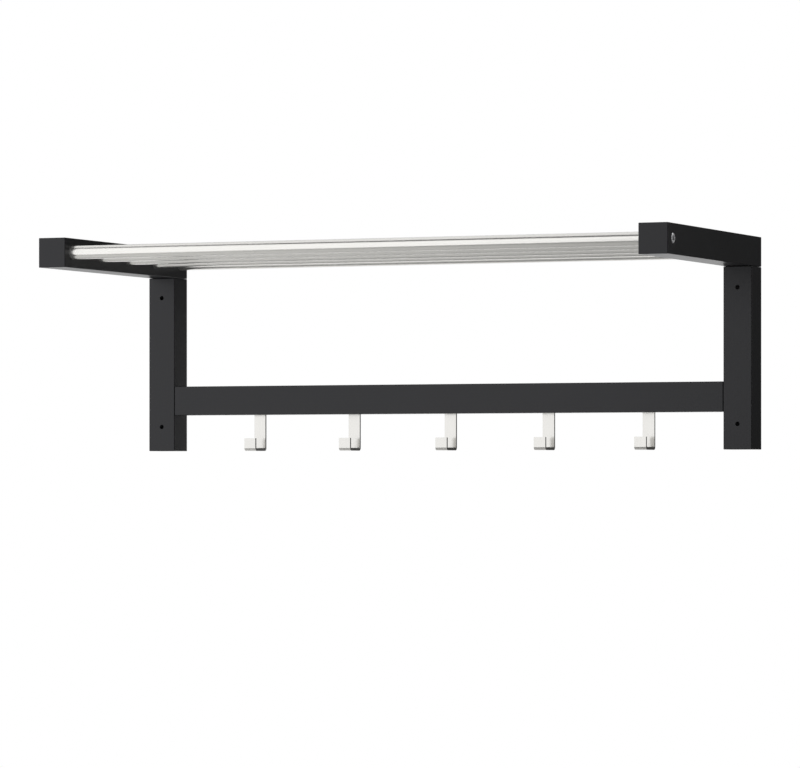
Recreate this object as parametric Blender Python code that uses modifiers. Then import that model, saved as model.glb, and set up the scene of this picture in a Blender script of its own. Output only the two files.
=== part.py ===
"""Wall-mounted hat and coat rack with a tube shelf and five hooks.

Two wooden side brackets, each an arm lying on a leg, carry five aluminium shelf tubes between their arms
and a wooden rail between their legs. Five bent aluminium hooks are screwed to the back of the rail.

Metres, +Z up. The wall is the plane Y = 0 and the rack stands out from it towards -Y. X runs along the
rack from its middle, and Z = 0 is the underside of the two legs.
"""

import math

import bmesh
import bpy
from mathutils import Matrix, Vector

# Overall size of the rack.
RACK_WIDTH = 0.790
RACK_DEPTH = 0.320
RACK_HEIGHT = 0.250

# Wooden bars. An arm and a leg are equally wide; the rail's front is flush with the legs' fronts.
BAR_WIDTH = 0.035
ARM_HEIGHT = 0.035
LEG_DEPTH = 0.0355
RAIL_HEIGHT = 0.0355
RAIL_UNDERSIDE = 0.0444
EDGE_RADIUS = 0.0008

# Clearances: every touching pair keeps FIT_GAP; cutters start OVERSHOOT outside the face that they enter.
FIT_GAP = 0.0003
OVERSHOOT = 0.001

# Shelf tubes, let into blind bores in the arms' inner faces, which stop short of the dowels' bores.
TUBE_COUNT = 5
TUBE_DIAMETER = 0.016
TUBE_WALL = 0.0012
TUBE_ABOVE_ARM_UNDERSIDE = 0.018
FRONT_TUBE_SETBACK = 0.018
REAR_TUBE_SETBACK = 0.018
SEAT_TO_DOWEL_WALL = 0.0027

# Bolts that draw the arms onto the front tube, through a threaded insert in each of its ends.
BOLT_HEAD_DIAMETER = 0.0125
BOLT_HEAD_THICKNESS = 0.003
BOLT_HEAD_CHAMFER = 0.0004
BOLT_SHANK_DIAMETER = 0.006
BOLT_REACH_INTO_TUBE = 0.012
HEX_SOCKET_ACROSS_FLATS = 0.005
HEX_SOCKET_DEPTH = 0.002
INSERT_LENGTH = 0.014

# Beech dowels, two in each wooden joint.
DOWEL_DIAMETER = 0.008
DOWEL_LENGTH = 0.028
DOWEL_CHAMFER = 0.0008
ARM_DOWEL_SPACING = 0.016
RAIL_DOWEL_SPACING = 0.018

# Holes for the wall screws, one low and one high in each leg.
WALL_HOLE_DIAMETER = 0.0045
WALL_HOLE_HEIGHTS = (0.030, 0.190)

# Hooks: flat strap, bent forward under the rail and up again at the front.
HOOK_COUNT = 5
HOOK_END_MARGIN = 0.104
HOOK_WIDTH = 0.015
HOOK_THICKNESS = 0.003
HOOK_OUTER_BEND = 0.004
HOOK_LIP_HEIGHT = 0.0155
HOOK_PLATE_OVERLAP = 0.028
HOOK_WALL_CLEARANCE = 0.0038
BEND_STEPS = 5

# Countersunk screws that hold each hook to the rail.
SCREW_DIAMETER = 0.0035
SCREW_HEAD_DIAMETER = 0.0068
SCREW_LENGTH = 0.016
SCREW_TIP_LENGTH = 0.003
SCREW_HEAD_RIM = 0.0003
SCREW_RECESS_SPAN = 0.0036
SCREW_RECESS_WIDTH = 0.0009
SCREW_RECESS_DEPTH = 0.0012
SCREW_POSITIONS = {"lower": 0.009, "upper": 0.019}

# Facets around each round piece.
TUBE_FACETS = 32
SMALL_FACETS = 16
MERGE_DISTANCE = 0.000001

# Places that follow from the sizes above.
ARM_UNDERSIDE = RACK_HEIGHT - ARM_HEIGHT
LEG_TOP = ARM_UNDERSIDE - FIT_GAP
OUTER_FACE = RACK_WIDTH / 2
INNER_FACE = OUTER_FACE - BAR_WIDTH
BAR_MIDDLE = OUTER_FACE - BAR_WIDTH / 2
HOOK_BACK = -HOOK_WALL_CLEARANCE
HOOK_FRONT = -LEG_DEPTH
RAIL_BACK = HOOK_BACK - HOOK_THICKNESS - FIT_GAP
RAIL_FRONT = -LEG_DEPTH
RAIL_MIDDLE_Y = (RAIL_BACK + RAIL_FRONT) / 2
RAIL_MIDDLE_Z = RAIL_UNDERSIDE + RAIL_HEIGHT / 2
RAIL_HALF_LENGTH = INNER_FACE - FIT_GAP
TUBE_HEIGHT = ARM_UNDERSIDE + TUBE_ABOVE_ARM_UNDERSIDE
TUBE_SEAT_DEPTH = (BAR_WIDTH - DOWEL_DIAMETER) / 2 - FIT_GAP - SEAT_TO_DOWEL_WALL
TUBE_HALF_LENGTH = INNER_FACE + TUBE_SEAT_DEPTH - FIT_GAP
TUBE_INNER_DIAMETER = TUBE_DIAMETER - 2 * TUBE_WALL
TUBE_PITCH = (RACK_DEPTH - FRONT_TUBE_SETBACK - REAR_TUBE_SETBACK) / (TUBE_COUNT - 1)
HOOK_PITCH = 2 * (INNER_FACE - HOOK_END_MARGIN) / (HOOK_COUNT - 1)

SIDES = {"left": -1, "right": 1}
TOWARDS_WALL = Vector((0, 1, 0))
TOWARDS_ROOM = Vector((0, -1, 0))
UP = Vector((0, 0, 1))
DOWN = Vector((0, 0, -1))
ALONG = Vector((1, 0, 0))


def clear_scene():
    """Remove whatever the scene holds."""
    for old in list(bpy.data.objects):
        bpy.data.objects.remove(old, do_unlink=True)
    for old in list(bpy.data.collections):
        bpy.data.collections.remove(old)


def new_collection(name):
    """Add a collection to the scene."""
    collection = bpy.data.collections.new(name)
    bpy.context.scene.collection.children.link(collection)
    return collection


def new_material(name, colour, roughness, metallic=0.0):
    """Make a Principled material."""
    material = bpy.data.materials.new(name)
    material.use_nodes = True
    shader = material.node_tree.nodes["Principled BSDF"]
    shader.inputs["Base Color"].default_value = (*colour, 1.0)
    shader.inputs["Roughness"].default_value = roughness
    shader.inputs["Metallic"].default_value = metallic
    material.diffuse_color = (*colour, 1.0)
    return material


clear_scene()
RACK = new_collection("hat_rack")
CUTTERS = new_collection("hat_rack_cutters")
LACQUERED_WOOD = new_material("black_lacquered_wood", (0.040, 0.040, 0.043), 0.45)
ALUMINIUM = new_material("satin_aluminium", (0.84, 0.83, 0.80), 0.30, metallic=1.0)
PLATED_STEEL = new_material("plated_steel", (0.52, 0.53, 0.54), 0.35, metallic=1.0)
BEECH = new_material("beech", (0.60, 0.42, 0.25), 0.60)


def add_object(name, mesh, collection, material=None):
    """Put a mesh into the scene as an object of that name."""
    piece = bpy.data.objects.new(name, mesh)
    collection.objects.link(piece)
    if material is not None and not mesh.materials:
        mesh.materials.append(material)
    if collection is CUTTERS:
        piece.hide_render = True
        piece.display_type = "WIRE"
    return piece


def place(piece, centre, axis=UP):
    """Move a piece to its place and turn its own Z along an axis."""
    piece.location = centre
    piece.rotation_mode = "QUATERNION"
    piece.rotation_quaternion = Vector(axis).to_track_quat("Z", "Y")
    return piece


def box_mesh(name, size):
    """A box of that size, centred on its origin."""
    shape = bmesh.new()
    bmesh.ops.create_cube(shape, size=1.0, matrix=Matrix.Diagonal((*size, 1.0)))
    mesh = bpy.data.meshes.new(name)
    shape.to_mesh(mesh)
    shape.free()
    return mesh


def cone_mesh(name, radius_low, radius_high, length, facets):
    """A closed cone or cylinder along Z, centred on its origin."""
    shape = bmesh.new()
    bmesh.ops.create_cone(
        shape,
        cap_ends=True,
        segments=facets,
        radius1=radius_low,
        radius2=radius_high,
        depth=length,
    )
    mesh = bpy.data.meshes.new(name)
    shape.to_mesh(mesh)
    shape.free()
    return mesh


def turned_object(name, profile, facets, collection, material=None, closed=False):
    """Turn a profile of (radius, height) points about Z. The profile runs down the outer side."""
    shape = bmesh.new()
    points = [shape.verts.new((radius, 0.0, height)) for radius, height in profile]
    for start, end in zip(points, points[1:]):
        shape.edges.new((start, end))
    if closed:
        shape.edges.new((points[-1], points[0]))
    mesh = bpy.data.meshes.new(name)
    shape.to_mesh(mesh)
    shape.free()
    piece = add_object(name, mesh, collection, material)
    turn = piece.modifiers.new("turn", "SCREW")
    turn.steps = facets
    turn.render_steps = facets
    turn.use_merge_vertices = True
    turn.merge_threshold = MERGE_DISTANCE
    turn.use_smooth_shade = True
    return piece


def round_edges(piece, radius=EDGE_RADIUS, segments=2):
    """Round every edge of a piece."""
    bevel = piece.modifiers.new("rounded_edges", "BEVEL")
    bevel.width = radius
    bevel.segments = segments
    bevel.limit_method = "ANGLE"


def cut(piece, cutter):
    """Take a cutter's volume out of a piece."""
    boolean = piece.modifiers.new(cutter.name, "BOOLEAN")
    boolean.operation = "DIFFERENCE"
    boolean.solver = "EXACT"
    boolean.object = cutter


def drill(piece, name, mouth, direction, diameter, depth, facets=SMALL_FACETS, mouth_diameter=None):
    """Cut a round hole from its mouth on a face to a depth. A mouth diameter makes it a cone."""
    mouth_radius = (mouth_diameter or diameter) / 2
    slope = (mouth_radius - diameter / 2) / depth
    mesh = cone_mesh(name, mouth_radius + slope * OVERSHOOT, diameter / 2, depth + OVERSHOOT, facets)
    cutter = add_object(name, mesh, CUTTERS)
    place(cutter, Vector(mouth) + Vector(direction) * (depth - OVERSHOOT) / 2, direction)
    cut(piece, cutter)


def wooden_bar(name, low, high):
    """A lacquered bar with rounded edges between two opposite corners."""
    low, high = Vector(low), Vector(high)
    piece = add_object(name, box_mesh(name, high - low), RACK, LACQUERED_WOOD)
    place(piece, (low + high) / 2)
    round_edges(piece)
    return piece


def tube_position(index):
    """Distance in front of the wall of a shelf tube's axis, as Y. Tube 0 is the front one."""
    return -RACK_DEPTH + FRONT_TUBE_SETBACK + index * TUBE_PITCH


def paired(spacing):
    """Offsets of a pair of dowels about the middle of their joint."""
    return (-spacing / 2, spacing / 2)


def arm_dowel_places(sign):
    """Middle of each dowel between an arm and its leg."""
    middle = -LEG_DEPTH / 2
    return [
        Vector((sign * BAR_MIDDLE, middle + offset, ARM_UNDERSIDE))
        for offset in paired(ARM_DOWEL_SPACING)
    ]


def rail_dowel_places(sign):
    """Middle of each dowel between a leg and the rail."""
    return [
        Vector((sign * INNER_FACE, RAIL_MIDDLE_Y, RAIL_MIDDLE_Z + offset))
        for offset in paired(RAIL_DOWEL_SPACING)
    ]


def drill_for_dowels(piece, name, places, direction):
    """Blind bores for dowels whose middles lie on a joint's plane."""
    for number, middle in enumerate(places, 1):
        drill(
            piece,
            f"{name}_{number}",
            middle,
            direction,
            DOWEL_DIAMETER + 2 * FIT_GAP,
            DOWEL_LENGTH / 2 + FIT_GAP,
        )


def build_arm(side, sign):
    """A bracket's arm, with seats for the tubes, a counterbore for the bolt and bores for two dowels."""
    inner, outer = sign * INNER_FACE, sign * OUTER_FACE
    outward = sign * ALONG
    arm = wooden_bar(
        f"{side}_arm",
        (min(inner, outer), -RACK_DEPTH, ARM_UNDERSIDE),
        (max(inner, outer), 0.0, RACK_HEIGHT),
    )
    for index in range(TUBE_COUNT):
        seat = Vector((inner, tube_position(index), TUBE_HEIGHT))
        drill(
            arm,
            f"{side}_tube_seat_{index + 1}",
            seat,
            outward,
            TUBE_DIAMETER + 2 * FIT_GAP,
            TUBE_SEAT_DEPTH,
            TUBE_FACETS,
        )
    bolt_mouth = Vector((outer, tube_position(0), TUBE_HEIGHT))
    reach = BAR_WIDTH - TUBE_SEAT_DEPTH / 2
    drill(arm, f"{side}_bolt_hole", bolt_mouth, -outward, BOLT_SHANK_DIAMETER + 2 * FIT_GAP, reach)
    drill(
        arm,
        f"{side}_bolt_counterbore",
        bolt_mouth,
        -outward,
        BOLT_HEAD_DIAMETER + 2 * FIT_GAP,
        BOLT_HEAD_THICKNESS + FIT_GAP,
        TUBE_FACETS,
    )
    drill_for_dowels(arm, f"{side}_arm_dowel_bore", arm_dowel_places(sign), UP)
    return arm


def build_leg(side, sign):
    """A bracket's leg, with two holes for wall screws and bores for four dowels."""
    inner, outer = sign * INNER_FACE, sign * OUTER_FACE
    leg = wooden_bar(
        f"{side}_leg",
        (min(inner, outer), -LEG_DEPTH, 0.0),
        (max(inner, outer), 0.0, LEG_TOP),
    )
    for number, height in enumerate(WALL_HOLE_HEIGHTS, 1):
        mouth = Vector((sign * BAR_MIDDLE, -LEG_DEPTH, height))
        depth = LEG_DEPTH + OVERSHOOT
        drill(leg, f"{side}_wall_hole_{number}", mouth, TOWARDS_WALL, WALL_HOLE_DIAMETER, depth)
    drill_for_dowels(leg, f"{side}_leg_top_bore", arm_dowel_places(sign), DOWN)
    drill_for_dowels(leg, f"{side}_leg_side_bore", rail_dowel_places(sign), sign * ALONG)
    return leg


def build_dowels(side, sign):
    """The four dowels of one bracket, chamfered at both ends."""
    radius, half = DOWEL_DIAMETER / 2, DOWEL_LENGTH / 2
    profile = [
        (0.0, half),
        (radius - DOWEL_CHAMFER, half),
        (radius, half - DOWEL_CHAMFER),
        (radius, DOWEL_CHAMFER - half),
        (radius - DOWEL_CHAMFER, -half),
        (0.0, -half),
    ]
    joints = {"arm": (arm_dowel_places(sign), UP), "rail": (rail_dowel_places(sign), ALONG)}
    for joint, (places, axis) in joints.items():
        for number, middle in enumerate(places, 1):
            dowel = turned_object(f"{side}_{joint}_dowel_{number}", profile, SMALL_FACETS, RACK, BEECH)
            place(dowel, middle, axis)


def build_tube_fixings(side, sign):
    """The insert in the front tube's end and the bolt that reaches it through the arm."""
    outward = sign * ALONG
    axis_point = Vector((0.0, tube_position(0), TUBE_HEIGHT))
    bore_radius = BOLT_SHANK_DIAMETER / 2 + FIT_GAP
    insert_radius = TUBE_INNER_DIAMETER / 2 - FIT_GAP
    half = INSERT_LENGTH / 2
    ring = [(insert_radius, half), (insert_radius, -half), (bore_radius, -half), (bore_radius, half)]
    insert = turned_object(f"{side}_tube_insert", ring, TUBE_FACETS, RACK, PLATED_STEEL, closed=True)
    place(insert, axis_point + outward * (TUBE_HALF_LENGTH - half), outward)

    head = BOLT_HEAD_DIAMETER / 2
    shank = BOLT_SHANK_DIAMETER / 2
    tip = TUBE_HALF_LENGTH - BOLT_REACH_INTO_TUBE - OUTER_FACE
    profile = [
        (0.0, 0.0),
        (head - BOLT_HEAD_CHAMFER, 0.0),
        (head, -BOLT_HEAD_CHAMFER),
        (head, -BOLT_HEAD_THICKNESS),
        (shank, -BOLT_HEAD_THICKNESS),
        (shank, tip + BOLT_HEAD_CHAMFER),
        (shank - BOLT_HEAD_CHAMFER, tip),
        (0.0, tip),
    ]
    bolt = turned_object(f"{side}_tie_bolt", profile, TUBE_FACETS, RACK, PLATED_STEEL)
    mouth = axis_point + outward * OUTER_FACE
    place(bolt, mouth, outward)
    corner_to_corner = HEX_SOCKET_ACROSS_FLATS / math.cos(math.radians(30))
    drill(bolt, f"{side}_bolt_socket", mouth, -outward, corner_to_corner, HEX_SOCKET_DEPTH, 6)


def build_tubes():
    """The shelf: equal open tubes side by side, seated in both arms."""
    outer, inner = TUBE_DIAMETER / 2, TUBE_INNER_DIAMETER / 2
    wall = [
        (outer, TUBE_HALF_LENGTH),
        (outer, -TUBE_HALF_LENGTH),
        (inner, -TUBE_HALF_LENGTH),
        (inner, TUBE_HALF_LENGTH),
    ]
    for index in range(TUBE_COUNT):
        tube = turned_object(f"shelf_tube_{index + 1}", wall, TUBE_FACETS, RACK, ALUMINIUM, closed=True)
        place(tube, Vector((0.0, tube_position(index), TUBE_HEIGHT)), ALONG)


def hook_place(index):
    """A hook's middle along the rail. Hook 0 is the leftmost."""
    return (index - (HOOK_COUNT - 1) / 2) * HOOK_PITCH


def hook_screw_place(index, height):
    """Where a hook screw's axis meets the back of the hook's plate."""
    return Vector((hook_place(index), HOOK_BACK, RAIL_UNDERSIDE + height))


def build_rail():
    """The rail between the legs, with bores for its dowels and for the hooks' screws."""
    rail = wooden_bar(
        "hook_rail",
        (-RAIL_HALF_LENGTH, RAIL_FRONT, RAIL_UNDERSIDE),
        (RAIL_HALF_LENGTH, RAIL_BACK, RAIL_UNDERSIDE + RAIL_HEIGHT),
    )
    for side, sign in SIDES.items():
        drill_for_dowels(rail, f"{side}_rail_end_bore", rail_dowel_places(sign), -sign * ALONG)
    depth = SCREW_LENGTH - HOOK_THICKNESS + FIT_GAP
    for index in range(HOOK_COUNT):
        for level, height in SCREW_POSITIONS.items():
            mouth = hook_screw_place(index, height)
            mouth.y = RAIL_BACK
            name = f"rail_screw_bore_{index + 1}_{level}"
            drill(rail, name, mouth, TOWARDS_ROOM, SCREW_DIAMETER + 2 * FIT_GAP, depth)
    return rail


def hook_outline():
    """The strap's outer side as (Y, Z) points, from its plate's top round to the lip's top."""
    radius = HOOK_OUTER_BEND
    points = [(HOOK_BACK, RAIL_UNDERSIDE + HOOK_PLATE_OVERLAP)]
    for centre_y, first_angle in ((HOOK_BACK - radius, 0), (HOOK_FRONT + radius, -90)):
        for step in range(BEND_STEPS + 1):
            angle = math.radians(first_angle - 90 * step / BEND_STEPS)
            points.append((centre_y + radius * math.cos(angle), radius + radius * math.sin(angle)))
    points.append((HOOK_FRONT, HOOK_LIP_HEIGHT))
    return points


def hook_mesh():
    """The strap's outer side as an open sheet, as wide as the hook."""
    shape = bmesh.new()
    line = [shape.verts.new((-HOOK_WIDTH / 2, y, z)) for y, z in hook_outline()]
    edges = [shape.edges.new(pair) for pair in zip(line, line[1:])]
    swept = bmesh.ops.extrude_edge_only(shape, edges=edges)
    moved = [item for item in swept["geom"] if isinstance(item, bmesh.types.BMVert)]
    bmesh.ops.translate(shape, vec=(HOOK_WIDTH, 0, 0), verts=moved)
    mesh = bpy.data.meshes.new("hook_strap")
    shape.to_mesh(mesh)
    shape.free()
    return mesh


def build_hooks():
    """The hooks, each bent from one strap, with two countersunk holes in its plate."""
    mesh = hook_mesh()
    for index in range(HOOK_COUNT):
        hook = add_object(f"coat_hook_{index + 1}", mesh, RACK, ALUMINIUM)
        hook.location.x = hook_place(index)
        strap = hook.modifiers.new("strap_thickness", "SOLIDIFY")
        strap.thickness = HOOK_THICKNESS
        strap.offset = -1
        strap.use_even_offset = True
        for level, height in SCREW_POSITIONS.items():
            mouth = hook_screw_place(index, height)
            name = f"hook_{index + 1}_{level}"
            shank = SCREW_DIAMETER + 2 * FIT_GAP
            head = SCREW_HEAD_DIAMETER + 2 * FIT_GAP
            drill(hook, f"{name}_hole", mouth, TOWARDS_ROOM, shank, HOOK_THICKNESS + OVERSHOOT)
            drill(
                hook,
                f"{name}_countersink",
                mouth,
                TOWARDS_ROOM,
                shank,
                SCREW_HEAD_RIM + (head - shank) / 2,
                mouth_diameter=head + 2 * SCREW_HEAD_RIM,
            )


def build_hook_screws():
    """Countersunk wood screws, their heads flush with the back of the hooks' plates."""
    head, shank = SCREW_HEAD_DIAMETER / 2, SCREW_DIAMETER / 2
    profile = [
        (0.0, 0.0),
        (head, 0.0),
        (head, -SCREW_HEAD_RIM),
        (shank, -SCREW_HEAD_RIM - (head - shank)),
        (shank, SCREW_TIP_LENGTH - SCREW_LENGTH),
        (0.0, -SCREW_LENGTH),
    ]
    for index in range(HOOK_COUNT):
        for level, height in SCREW_POSITIONS.items():
            name = f"hook_screw_{index + 1}_{level}"
            screw = turned_object(name, profile, SMALL_FACETS, RACK, PLATED_STEEL)
            mouth = hook_screw_place(index, height)
            place(screw, mouth, TOWARDS_WALL)
            for slot, size in {
                "across": (SCREW_RECESS_SPAN, 2 * SCREW_RECESS_DEPTH, SCREW_RECESS_WIDTH),
                "upright": (SCREW_RECESS_WIDTH, 2 * SCREW_RECESS_DEPTH, SCREW_RECESS_SPAN),
            }.items():
                cutter = add_object(f"{name}_{slot}", box_mesh(f"{name}_{slot}", size), CUTTERS)
                place(cutter, mouth)
                cut(screw, cutter)


def main():
    """Build the whole rack."""
    for side, sign in SIDES.items():
        build_arm(side, sign)
        build_leg(side, sign)
        build_dowels(side, sign)
        build_tube_fixings(side, sign)
    build_tubes()
    build_rail()
    build_hooks()
    build_hook_screws()


main()
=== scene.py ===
"""Looks of a wall-mounted hat rack: two lacquered brackets, a tube shelf, a rail and five hooks.

Metres, +Z up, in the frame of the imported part: the wall is the plane Y = 0, the rack stands out from it
towards -Y, X runs along the rack from its middle, and Z = 0 is the underside of the legs.
"""

import logging
import math
from dataclasses import dataclass, field
from enum import Enum
from typing import Any

import bmesh
import bpy
import numpy as np
from mathutils import Euler, Matrix, Vector


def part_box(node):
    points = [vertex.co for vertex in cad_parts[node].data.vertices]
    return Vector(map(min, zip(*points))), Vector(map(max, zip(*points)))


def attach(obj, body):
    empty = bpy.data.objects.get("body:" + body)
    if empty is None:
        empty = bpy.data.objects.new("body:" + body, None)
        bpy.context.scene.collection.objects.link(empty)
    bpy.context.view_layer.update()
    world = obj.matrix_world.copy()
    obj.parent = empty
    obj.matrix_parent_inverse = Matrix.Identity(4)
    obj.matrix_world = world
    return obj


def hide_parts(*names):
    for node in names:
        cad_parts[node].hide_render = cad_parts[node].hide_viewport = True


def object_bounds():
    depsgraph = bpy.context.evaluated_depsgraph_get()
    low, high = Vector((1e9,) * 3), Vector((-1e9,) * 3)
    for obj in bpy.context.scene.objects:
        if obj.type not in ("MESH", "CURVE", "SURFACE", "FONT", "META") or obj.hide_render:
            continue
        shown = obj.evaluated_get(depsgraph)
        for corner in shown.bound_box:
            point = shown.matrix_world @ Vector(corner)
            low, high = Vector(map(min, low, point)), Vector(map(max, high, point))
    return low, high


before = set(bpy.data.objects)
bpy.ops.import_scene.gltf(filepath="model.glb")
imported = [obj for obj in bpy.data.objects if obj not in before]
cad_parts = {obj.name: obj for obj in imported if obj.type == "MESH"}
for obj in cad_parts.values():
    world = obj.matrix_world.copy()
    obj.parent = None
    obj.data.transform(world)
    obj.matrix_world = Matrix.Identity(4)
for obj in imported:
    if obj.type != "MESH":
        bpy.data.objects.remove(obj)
CAD_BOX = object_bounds()

LOG = logging.getLogger("hat_rack")
BODY = "root"

OVERSHOOT = 0.001
MERGE_DISTANCE = 0.000001
SMOOTH_LIMIT = math.radians(28)
RUB_ATTRIBUTE = "edge_rub"

Point = tuple[float, float, float]
Colour = tuple[float, float, float]


class Side(Enum):
    """The two ends of the rack, with the sign of X there."""

    LEFT = -1
    RIGHT = 1

    @property
    def label(self) -> str:
        """The side's word in node names."""
        return self.name.lower()

    @property
    def outward(self) -> Vector:
        """The direction from the rack's middle to this end."""
        return Vector((self.value, 0, 0))


class Grain(Enum):
    """The way that a bar's fibres run, as the turn that lays the pattern's own Z along them."""

    UPRIGHT = (0.0, 0.0, 0.0)
    ALONG_RACK = (0.0, math.pi / 2, 0.0)
    TO_WALL = (math.pi / 2, 0.0, 0.0)


class Slot(Enum):
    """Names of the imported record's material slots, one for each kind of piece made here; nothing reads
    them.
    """

    WOOD = "black_wood"
    TUBE = "tube_aluminium"
    HOOK = "hook_aluminium"
    STEEL = "plated_steel"


@dataclass(frozen=True)
class Block:
    """The box that a CAD node fills."""

    low: Vector
    high: Vector

    @classmethod
    def of(cls, node: str) -> "Block":
        """Read a node's box.

        Args:
            node: Name of the CAD node.

        Returns:
            Its box at rest.
        """
        low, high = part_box(node)
        return cls(low, high)

    @property
    def middle(self) -> Vector:
        """The box's centre."""
        return (self.low + self.high) / 2

    @property
    def size(self) -> Vector:
        """The box's three sides."""
        return self.high - self.low

    def face(self, direction: Vector) -> Vector:
        """Find the middle of a face.

        Args:
            direction: Unit vector along an axis, out of that face.

        Returns:
            The face's middle.
        """
        return self.middle + Vector(d * s / 2 for d, s in zip(direction, self.size))


class Graph:
    """Adds nodes to a node tree and joins them."""

    def __init__(self, tree: bpy.types.NodeTree) -> None:
        """Work on a tree."""
        self.tree = tree

    def add(self, kind: str, inputs: dict[str | int, Any] | None = None, **settings: Any) -> bpy.types.Node:
        """Add a node.

        Args:
            kind: The node's type name.
            inputs: Values or sockets for its inputs, by name or place.
            **settings: Properties of the node.

        Returns:
            The new node.
        """
        node = self.tree.nodes.new(kind)
        for name, value in settings.items():
            setattr(node, name, value)
        for key, value in (inputs or {}).items():
            if isinstance(value, bpy.types.NodeSocket):
                self.tree.links.new(value, node.inputs[key])
            else:
                node.inputs[key].default_value = value
        return node

    def math(self, operation: str, *values: Any) -> bpy.types.NodeSocket:
        """Add a Math node.

        Args:
            operation: Its operation.
            *values: Numbers or sockets.

        Returns:
            The result's socket.
        """
        kind = "ShaderNodeMath"
        return self.add(kind, dict(enumerate(values)), operation=operation).outputs[0]


class ShaderGraph(Graph):
    """Nodes of one material."""

    def __init__(self, name: str) -> None:
        """Start a material of that name."""
        self.material = bpy.data.materials.new(name)
        self.material.use_nodes = True
        super().__init__(self.material.node_tree)
        self.shader = self.tree.nodes["Principled BSDF"]

    def place(self, turn: Point = (0, 0, 0), shift: Point = (0, 0, 0)) -> Any:
        """Read the object's own coordinates.

        Args:
            turn: Rotation of the pattern.
            shift: Move of the pattern.

        Returns:
            The socket of the turned and moved coordinates.
        """
        source = self.add("ShaderNodeTexCoord").outputs["Object"]
        inputs = {"Vector": source, "Location": shift, "Rotation": turn}
        return self.add("ShaderNodeMapping", inputs).outputs[0]

    def stretch(self, source: Any, scale: Point) -> Any:
        """Scale coordinates.

        Args:
            source: Socket with coordinates.
            scale: Factor along each axis.

        Returns:
            The scaled coordinates' socket.
        """
        return self.add("ShaderNodeMapping", {"Vector": source, "Scale": scale}).outputs[0]

    def noise(self, source: Any, scale: float, detail: float = 2.0, roughness: float = 0.5) -> Any:
        """Add a noise texture.

        Args:
            source: Socket with coordinates.
            scale: Cells per metre.
            detail: Octaves.
            roughness: Strength of the finer octaves.

        Returns:
            The noise's value socket.
        """
        inputs = {"Vector": source, "Scale": scale, "Detail": detail, "Roughness": roughness}
        return self.add("ShaderNodeTexNoise", inputs).outputs[0]

    def remap(self, value: Any, source: tuple[float, float], target: tuple[float, float]) -> Any:
        """Map a value from one span to another, held at both ends.

        Args:
            value: Socket with the value.
            source: Span that comes in.
            target: Span that goes out.

        Returns:
            The mapped value's socket.
        """
        inputs = dict(enumerate((value, *source, *target)))
        return self.add("ShaderNodeMapRange", inputs).outputs[0]

    def blend(self, factor: Any, first: Any, second: Any) -> Any:
        """Mix two colours.

        Args:
            factor: Share of the second one.
            first: Colour or socket.
            second: Colour or socket.

        Returns:
            The mixed colour's socket.
        """
        mix = self.add("ShaderNodeMix", data_type="RGBA")
        for place, value in zip((0, 6, 7), (factor, first, second)):
            if isinstance(value, bpy.types.NodeSocket):
                self.tree.links.new(value, mix.inputs[place])
            else:
                mix.inputs[place].default_value = value if place == 0 else (*value, 1.0)
        return mix.outputs[2]

    def finish(
        self, colour: Any, roughness: Any, height: Any, depth: float, **fixed: Any
    ) -> bpy.types.Material:
        """Join the patterns to the surface shader.

        Args:
            colour: Socket of the base colour.
            roughness: Socket of the roughness.
            height: Socket of the relief, 0 to 1.
            depth: How deep that relief is, in metres.
            **fixed: Constant inputs of the shader, their names in lower case.

        Returns:
            The finished material.
        """
        bump = self.add("ShaderNodeBump", {"Height": height, "Distance": depth, "Strength": 1.0})
        self.tree.links.new(colour, self.shader.inputs["Base Color"])
        self.tree.links.new(roughness, self.shader.inputs["Roughness"])
        self.tree.links.new(bump.outputs[0], self.shader.inputs["Normal"])
        for name, value in fixed.items():
            self.shader.inputs[name.replace("_", " ").title().replace("Ior", "IOR")].default_value = value
        return self.material


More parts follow.
